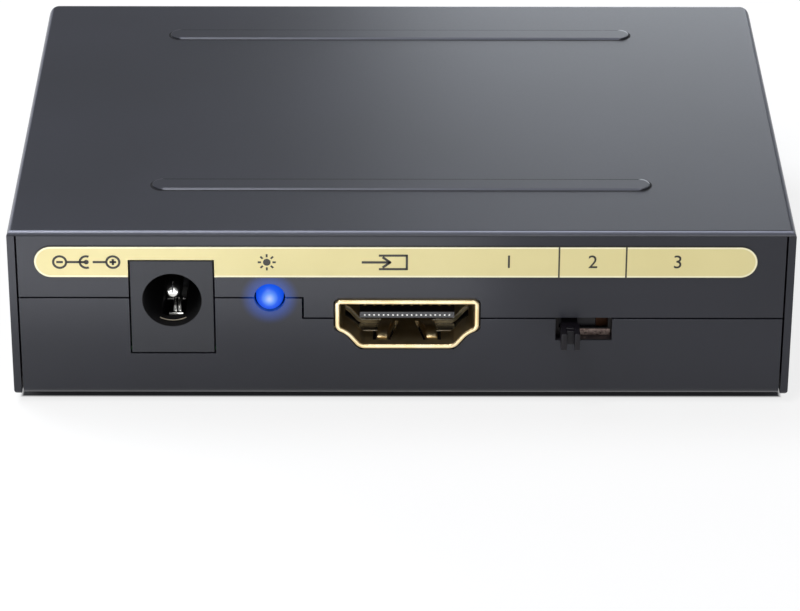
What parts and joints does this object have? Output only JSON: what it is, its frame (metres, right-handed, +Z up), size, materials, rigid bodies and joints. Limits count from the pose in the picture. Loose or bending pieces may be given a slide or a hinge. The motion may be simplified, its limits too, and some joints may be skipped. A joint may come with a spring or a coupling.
{
  "type": "hdmi audio extractor",
  "caption": "Low sheet-steel box that takes sound off a digital video link, with power, video, optical and phono sockets, a slide switch and a lamp.",
  "frame": {"origin": "on the surface that the feet stand on, under the middle of the whole part with its switch knob and audio sockets", "axes": "+X to the right as the front is seen, +Y from the front panel to the back, +Z up"},
  "size_m": [0.083, 0.0714, 0.021],
  "materials": {
    "case_paint": "satin dark grey",
    "screw_steel": "dull zinc",
    "foot_rubber": "matt",
    "band_foil": "cream gold print",
    "board_laminate": "green solder mask",
    "black_plastic": "matt",
    "jack_plastic": "satin",
    "contact_metal": "gold flash",
    "nickel": "bright nickel",
    "tin": "tinned",
    "lens_plastic": "clear blue, lit",
    "phenolic": "brown laminate",
    "gold_shell": "gold flash",
    "white_plastic": "moulded",
    "red_plastic": "moulded",
    "chip_resin": "moulded epoxy",
    "ferrite": "pressed ferrite",
    "can_aluminium": "drawn can",
    "ceramic": "fired ceramic"
  },
  "bodies": {
    "case": {"top_cover": "case_paint", "bottom_tray": "case_paint", "side_screws": "screw_steel", "rubber_feet": "foot_rubber", "standoffs": "nickel", "board_screws": "nickel", "front_label": "band_foil", "back_label": "band_foil", "circuit_board": "board_laminate", "jack_housing": "jack_plastic", "jack_pin": "nickel", "jack_pin_terminal": "tin", "jack_spring": "tin", "lamp_lens": "lens_plastic", "lamp_leads": "tin", "switch_frame": "tin", "switch_base": "phenolic", "switch_terminals": "tin", "video_in_shell": "gold_shell", "video_in_insulator": "black_plastic", "video_in_contacts": "contact_metal", "video_out_shell": "gold_shell", "video_out_insulator": "black_plastic", "video_out_contacts": "contact_metal", "optical_housing": "black_plastic", "optical_emitter": "black_plastic", "optical_leads": "tin", "rca_block": "black_plastic", "rca_left_sleeve": "gold_shell", "rca_right_sleeve": "gold_shell", "rca_left_insert": "white_plastic", "rca_right_insert": "red_plastic", "rca_left_contact": "contact_metal", "rca_right_contact": "contact_metal", "main_chip": "chip_resin", "audio_chip": "chip_resin", "control_chip": "chip_resin", "voltage_regulator": "chip_resin", "crystal": "nickel", "power_inductor": "ferrite", "electrolytic_capacitors": "can_aluminium", "ceramic_capacitors": "ceramic", "chip_resistors": "chip_resin"},
    "switch_knob": {"switch_slider": "black_plastic", "switch_clip": "contact_metal"},
    "shutter": {"optical_shutter": "black_plastic", "shutter_spring": "nickel"}
  },
  "joints": [
    {"name": "switch_slide", "type": "slide", "parent": "case", "child": "switch_knob", "axis": [1, 0, 0], "range_m": [0, 0.003]},
    {"name": "shutter_swing", "type": "hinge", "parent": "case", "child": "shutter", "pos_m": [0.0065, 0.0257, 0.0141], "axis": [-1, 0, 0], "range_deg": [0, 80], "stiffness_Nm_per_rad": 0.00002, "springref_deg": -22.92}
  ]
}
